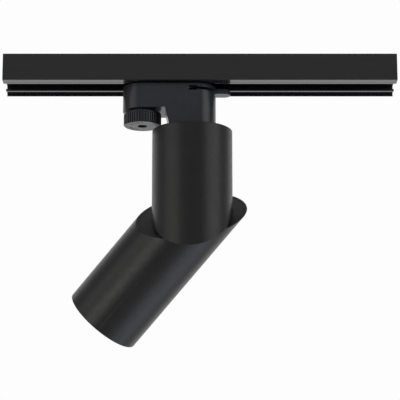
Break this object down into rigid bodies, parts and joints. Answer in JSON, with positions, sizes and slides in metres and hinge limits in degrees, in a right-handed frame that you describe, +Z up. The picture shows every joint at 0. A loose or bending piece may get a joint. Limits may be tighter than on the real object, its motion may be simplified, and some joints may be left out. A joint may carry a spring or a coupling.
{
  "type": "track spotlight",
  "caption": "Cylindrical spotlight with an oblique swivel between mitred tubes, hung from a quarter-turn adapter that slides in a black surface track.",
  "frame": {"origin": "middle of the track's top face, where it meets the ceiling", "axes": "+Z up, out of the top face into the ceiling; +X along the track, from the knob end of the adapter to its lever end; -Y is the side that the plain front lip is on"},
  "size_m": [0.277, 0.0916, 0.2008],
  "materials": {
    "track_black": "satin",
    "liner_black": "matte",
    "copper": "satin",
    "adapter_black": "satin",
    "zinc_steel": "satin",
    "black_steel": "satin",
    "spring_steel": "satin",
    "brass": "satin",
    "sleeve": "matte",
    "head_black": "matte",
    "ceramic_white": "matte",
    "lamp_white": "gloss",
    "lamp_glass": "gloss"
  },
  "bodies": {
    "track": {"track_profile": "track_black", "front_insert": "liner_black", "back_insert": "liner_black", "live_conductor": "copper", "neutral_conductor": "copper"},
    "adapter": {"adapter_housing": "adapter_black", "adapter_cover": "adapter_black", "cover_screw_left": "zinc_steel", "cover_screw_right": "zinc_steel", "lever_pin": "black_steel", "lever_spring": "spring_steel", "earth_contact": "brass", "adapter_lead": "sleeve", "pan_stem": "zinc_steel", "stem_nut": "zinc_steel", "pan_wave_washer": "spring_steel", "pan_stop_washer": "zinc_steel", "pan_nut": "zinc_steel"},
    "knob": {"lock_knob": "adapter_black", "knob_screw": "zinc_steel", "lock_shaft": "zinc_steel", "lock_rotor": "adapter_black", "live_contact": "brass", "neutral_contact": "brass"},
    "lever": {"release_lever": "adapter_black"},
    "upper_head": {"upper_tube": "head_black", "upper_cap": "head_black", "upper_cut_plate": "head_black", "pan_stop_pin": "zinc_steel", "joint_stud": "zinc_steel", "joint_washer": "liner_black", "joint_wave_washer": "spring_steel", "joint_stop_washer": "zinc_steel", "joint_nut": "zinc_steel", "upper_lead": "sleeve"},
    "lower_head": {"lower_tube": "head_black", "lower_cut_plate": "head_black", "joint_stop_pin": "zinc_steel", "holder_plate": "zinc_steel", "lamp_holder": "ceramic_white", "holder_screw_left": "zinc_steel", "holder_screw_right": "zinc_steel", "lamp_body": "lamp_white", "lamp_lens": "lamp_glass", "lamp_pin_left": "zinc_steel", "lamp_pin_right": "zinc_steel", "retaining_ring": "spring_steel", "antiglare_baffle": "liner_black", "lower_lead": "sleeve"}
  },
  "joints": [
    {"name": "track_slide", "type": "slide", "parent": "track", "child": "adapter", "axis": [1, 0, 0], "range_m": [-0.08, 0.112]},
    {"name": "knob_turn", "type": "hinge", "parent": "adapter", "child": "knob", "pos_m": [-0.0406, 0, -0.04], "axis": [0, 0, 1], "range_deg": [0, 90]},
    {"name": "lever_rock", "type": "hinge", "parent": "adapter", "child": "lever", "pos_m": [-0.005, 0, -0.024], "axis": [0, 1, 0], "range_deg": [0, 5], "stiffness_Nm_per_rad": 0.2, "springref_deg": -5.73, "deforming": ["lever_spring"]},
    {"name": "pan", "type": "hinge", "parent": "adapter", "child": "upper_head", "pos_m": [-0.0054, 0, -0.055], "axis": [0, 0, 1], "range_deg": [-160, 169]},
    {"name": "swivel", "type": "hinge", "parent": "upper_head", "child": "lower_head", "pos_m": [-0.0054, 0, -0.1123], "axis": [0.0573, 0.7048, -0.7071], "range_deg": [-233, 96]}
  ]
}
